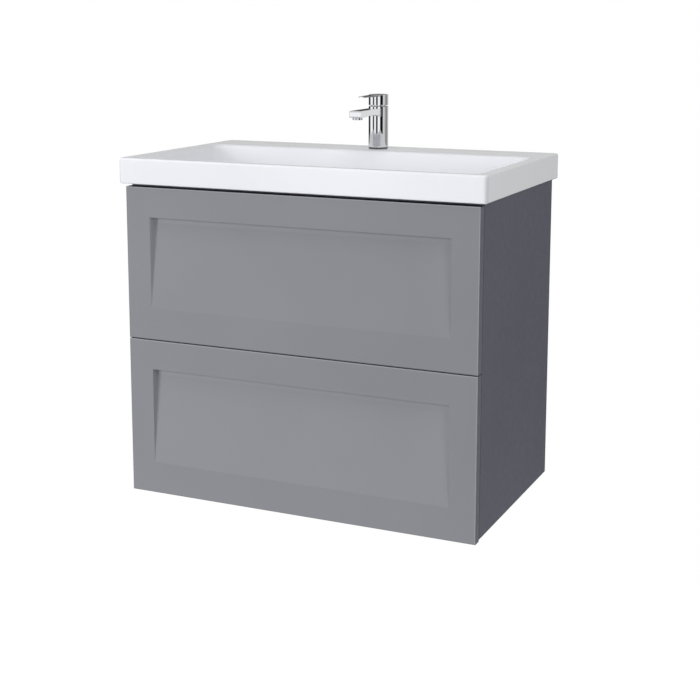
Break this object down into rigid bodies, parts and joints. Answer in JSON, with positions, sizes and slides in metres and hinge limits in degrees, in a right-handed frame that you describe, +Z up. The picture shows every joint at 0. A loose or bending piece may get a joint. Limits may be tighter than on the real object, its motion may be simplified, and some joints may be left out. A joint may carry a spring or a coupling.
{
  "type": "bathroom vanity cabinet",
  "caption": "Wall-hung vanity cabinet with drawers behind recessed fronts, an inset furniture basin, a single-lever mixer tap and a bottle trap.",
  "frame": {"origin": "centre of the bounding box in X and Y, at the height of the lowest drawer front's lower edge", "axes": "+Z up, +Y towards the wall the cabinet hangs on, +X to the right for a person standing before the drawers"},
  "size_m": [0.818, 0.486, 0.8495],
  "materials": {
    "grey_lacquer": "satin lacquer on fibreboard",
    "grey_melamine": "matt melamine on chipboard",
    "drawer_board": "light grey linen-print board",
    "white_ceramic": "white glaze",
    "chrome": "polished chrome plate",
    "zinc_steel": "zinc-plated steel",
    "dark_plastic": "moulded dark grey plastic",
    "rubber": "black rubber",
    "brass": "turned brass"
  },
  "bodies": {
    "root": {"basin": "white_ceramic", "bottom_panel": "grey_melamine", "cabinet_rail_lower_left": "zinc_steel", "cabinet_rail_lower_right": "zinc_steel", "cabinet_rail_upper_left": "zinc_steel", "cabinet_rail_upper_right": "zinc_steel", "fixing_nut": "brass", "fixing_stud": "zinc_steel", "fixing_washer": "zinc_steel", "front_rail": "grey_melamine", "hanger_bracket_left": "zinc_steel", "hanger_bracket_right": "zinc_steel", "hanger_screw_left": "zinc_steel", "hanger_screw_right": "zinc_steel", "inlet_stub_cold": "brass", "inlet_stub_hot": "brass", "mixer_aerator": "chrome", "mixer_body": "chrome", "mixer_cartridge": "dark_plastic", "mixer_collar": "chrome", "mixer_gasket": "rubber", "overflow_ring": "chrome", "rear_rail_lower": "grey_melamine", "rear_rail_upper": "grey_melamine", "side_panel_left": "grey_melamine", "side_panel_right": "grey_melamine", "trap_body": "chrome", "trap_cup": "chrome", "trap_inlet_tube": "chrome", "trap_nut": "chrome", "trap_outlet_arm": "chrome", "wall_rail": "zinc_steel", "wall_rosette": "chrome", "waste_body": "chrome", "waste_gasket": "rubber", "waste_nut": "brass"},
    "upper_drawer": {"drawer_front_upper": "grey_lacquer", "drawer_side_upper_left": "drawer_board", "drawer_side_upper_right": "drawer_board", "drawer_bottom_upper": "drawer_board", "drawer_back_upper_left": "drawer_board", "drawer_back_upper_right": "drawer_board", "trap_surround": "drawer_board", "drawer_rail_upper_left": "zinc_steel", "drawer_rail_upper_right": "zinc_steel"},
    "lower_drawer": {"drawer_front_lower": "grey_lacquer", "drawer_side_lower_left": "drawer_board", "drawer_side_lower_right": "drawer_board", "drawer_bottom_lower": "drawer_board", "drawer_back_lower": "drawer_board", "drawer_rail_lower_left": "zinc_steel", "drawer_rail_lower_right": "zinc_steel"},
    "upper_middle_rails": {"middle_rail_upper_left": "zinc_steel", "middle_rail_upper_right": "zinc_steel"},
    "lower_middle_rails": {"middle_rail_lower_left": "zinc_steel", "middle_rail_lower_right": "zinc_steel"},
    "mixer_stem": {"mixer_stem": "dark_plastic"},
    "mixer_lever": {"mixer_lever": "chrome", "mixer_pin": "zinc_steel"},
    "waste_plug": {"waste_plug": "chrome"}
  },
  "joints": [
    {"name": "upper_drawer_slide", "type": "slide", "parent": "root", "child": "upper_drawer", "axis": [0, -1, 0], "range_m": [0, 0.36]},
    {"name": "upper_middle_slide", "type": "slide", "parent": "root", "child": "upper_middle_rails", "axis": [0, -1, 0], "range_m": [0, 0.18]},
    {"name": "lower_drawer_slide", "type": "slide", "parent": "root", "child": "lower_drawer", "axis": [0, -1, 0], "range_m": [0, 0.36]},
    {"name": "lower_middle_slide", "type": "slide", "parent": "root", "child": "lower_middle_rails", "axis": [0, -1, 0], "range_m": [0, 0.18]},
    {"name": "mixer_swivel", "type": "hinge", "parent": "root", "child": "mixer_stem", "pos_m": [0, 0.196, 0.823], "axis": [0, 0, 1], "range_deg": [-45, 45]},
    {"name": "mixer_lift", "type": "hinge", "parent": "mixer_stem", "child": "mixer_lever", "pos_m": [0, 0.2115, 0.8305], "axis": [-1, 0, 0], "range_deg": [0, 20]},
    {"name": "waste_plug_slide", "type": "slide", "parent": "root", "child": "waste_plug", "axis": [0, 0, 1], "range_m": [0, 0.008]}
  ],
  "couplings": [
    {"joint": "upper_middle_slide", "follows": "upper_drawer_slide", "ratio": 0.5},
    {"joint": "lower_middle_slide", "follows": "lower_drawer_slide", "ratio": 0.5}
  ]
}
